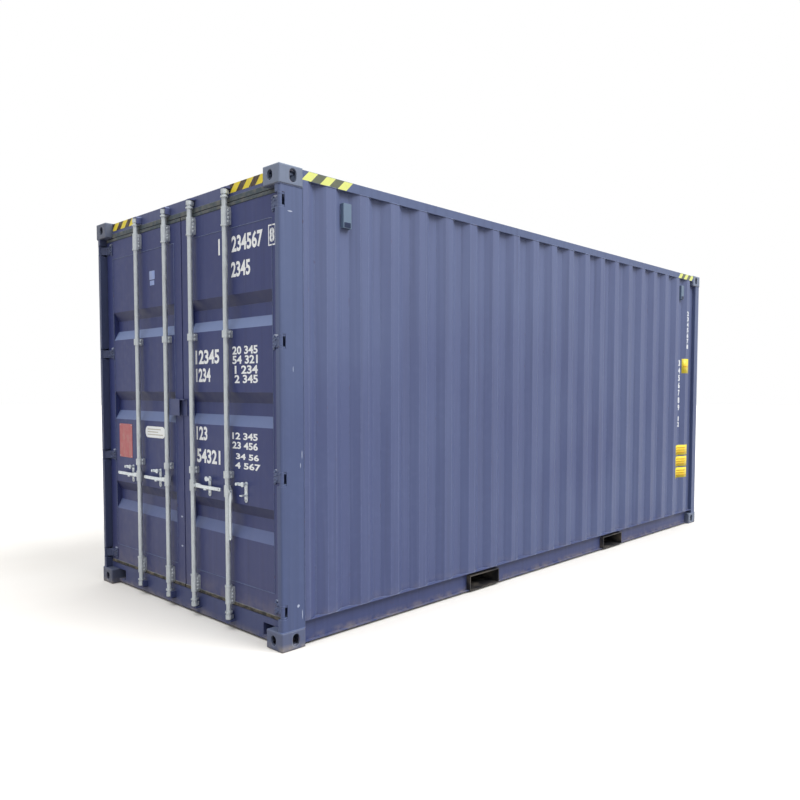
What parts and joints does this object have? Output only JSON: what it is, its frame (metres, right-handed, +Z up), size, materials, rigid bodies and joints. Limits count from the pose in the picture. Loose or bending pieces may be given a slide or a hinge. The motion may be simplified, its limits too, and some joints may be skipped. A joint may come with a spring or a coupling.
{
  "type": "shipping container",
  "caption": "Corrugated steel dry freight container with hinged double doors, lock rods, corner castings, fork pockets and a plywood floor.",
  "frame": {"origin": "centre of the base, on the ground plane under the corner castings", "axes": "+Z up, +Y towards the closed front end, -Y towards the doors, +X towards the right side seen from the doors"},
  "size_m": [2.438, 6.058, 2.896],
  "materials": {
    "side_paint": "weathered blue marine paint, semi-matt",
    "frame_paint": "weathered blue marine paint, semi-matt",
    "door_paint": "weathered dark blue marine paint, semi-matt",
    "casting_paint": "painted rough cast steel with scraped edges",
    "roof_paint": "faded blue marine paint",
    "galvanised_steel": "dull hot-dip galvanised",
    "seal_rubber": "matt black rubber",
    "floor_plywood": "oiled hardwood plywood",
    "underbody_coating": "dull black underbody wax"
  },
  "bodies": {
    "container": {"corner_castings_bottom": "casting_paint", "corner_castings_top": "casting_paint", "rear_post_left": "frame_paint", "rear_post_right": "frame_paint", "front_post_left": "frame_paint", "front_post_right": "frame_paint", "door_header": "door_paint", "door_sill": "door_paint", "front_top_rail": "frame_paint", "front_bottom_sill": "frame_paint", "top_side_rail_left": "frame_paint", "top_side_rail_right": "frame_paint", "bottom_side_rail_left": "frame_paint", "bottom_side_rail_right": "frame_paint", "side_wall_left": "side_paint", "side_wall_right": "side_paint", "front_end_wall": "side_paint", "roof_panel": "roof_paint", "roof_corner_plates": "roof_paint", "floor_boards": "floor_plywood", "cross_members": "underbody_coating", "fork_pockets": "frame_paint", "cam_keepers": "door_paint", "hinge_lugs": "frame_paint", "ventilator_hoods": "frame_paint"},
    "left_door": {"left_door_frame": "door_paint", "left_door_panel": "door_paint", "left_door_seal": "seal_rubber", "left_hinge_blades": "door_paint", "left_rod_bearings": "galvanised_steel", "left_handle_catches": "galvanised_steel", "left_customs_plate": "door_paint"},
    "right_door": {"right_door_frame": "door_paint", "right_door_panel": "door_paint", "right_door_seal": "seal_rubber", "right_hinge_blades": "door_paint", "right_rod_bearings": "galvanised_steel", "right_handle_catches": "galvanised_steel", "right_customs_plate": "door_paint"},
    "rod_1": {"lock_rod_1": "galvanised_steel"},
    "rod_2": {"lock_rod_2": "galvanised_steel"},
    "rod_3": {"lock_rod_3": "galvanised_steel"},
    "rod_4": {"lock_rod_4": "galvanised_steel"},
    "handle_1": {"handle_1": "galvanised_steel"},
    "handle_2": {"handle_2": "galvanised_steel"},
    "handle_3": {"handle_3": "galvanised_steel"},
    "handle_4": {"handle_4": "galvanised_steel"},
    "latch_1": {"handle_latch_1": "galvanised_steel"},
    "latch_2": {"handle_latch_2": "galvanised_steel"},
    "latch_3": {"handle_latch_3": "galvanised_steel"},
    "latch_4": {"handle_latch_4": "galvanised_steel"}
  },
  "joints": [
    {"name": "left_door_swing", "type": "hinge", "parent": "container", "child": "left_door", "pos_m": [-1.199, -3.009, 1.464], "axis": [0, 0, -1], "range_deg": [0, 265]},
    {"name": "right_door_swing", "type": "hinge", "parent": "container", "child": "right_door", "pos_m": [1.199, -3.009, 1.464], "axis": [0, 0, 1], "range_deg": [0, 265]},
    {"name": "rod_1_turn", "type": "hinge", "parent": "left_door", "child": "rod_1", "pos_m": [-0.605, -3.002, 1.463], "axis": [0, 0, -1], "range_deg": [-100, 0]},
    {"name": "rod_2_turn", "type": "hinge", "parent": "left_door", "child": "rod_2", "pos_m": [-0.175, -3.002, 1.463], "axis": [0, 0, -1], "range_deg": [-100, 0]},
    {"name": "rod_3_turn", "type": "hinge", "parent": "right_door", "child": "rod_3", "pos_m": [0.175, -3.002, 1.463], "axis": [0, 0, 1], "range_deg": [-100, 0]},
    {"name": "rod_4_turn", "type": "hinge", "parent": "right_door", "child": "rod_4", "pos_m": [0.605, -3.002, 1.463], "axis": [0, 0, 1], "range_deg": [-100, 0]},
    {"name": "handle_1_lift", "type": "hinge", "parent": "rod_1", "child": "handle_1", "pos_m": [-0.635, -3.002, 0.918], "axis": [0, 1, 0], "range_deg": [0, 8]},
    {"name": "handle_2_lift", "type": "hinge", "parent": "rod_2", "child": "handle_2", "pos_m": [-0.205, -3.002, 0.918], "axis": [0, 1, 0], "range_deg": [0, 8]},
    {"name": "handle_3_lift", "type": "hinge", "parent": "rod_3", "child": "handle_3", "pos_m": [0.205, -3.002, 0.918], "axis": [0, -1, 0], "range_deg": [0, 8]},
    {"name": "handle_4_lift", "type": "hinge", "parent": "rod_4", "child": "handle_4", "pos_m": [0.635, -3.002, 0.918], "axis": [0, -1, 0], "range_deg": [0, 70]},
    {"name": "latch_1_swivel", "type": "hinge", "parent": "left_door", "child": "latch_1", "pos_m": [-0.77, -3.002, 0.974], "axis": [0, 1, 0], "range_deg": [0, 90]},
    {"name": "latch_2_swivel", "type": "hinge", "parent": "left_door", "child": "latch_2", "pos_m": [-0.34, -3.002, 0.974], "axis": [0, 1, 0], "range_deg": [0, 90]},
    {"name": "latch_3_swivel", "type": "hinge", "parent": "right_door", "child": "latch_3", "pos_m": [0.34, -3.002, 0.974], "axis": [0, -1, 0], "range_deg": [0, 90]},
    {"name": "latch_4_swivel", "type": "hinge", "parent": "right_door", "child": "latch_4", "pos_m": [0.77, -3.002, 0.974], "axis": [0, 1, 0], "range_deg": [0, 90]}
  ]
}
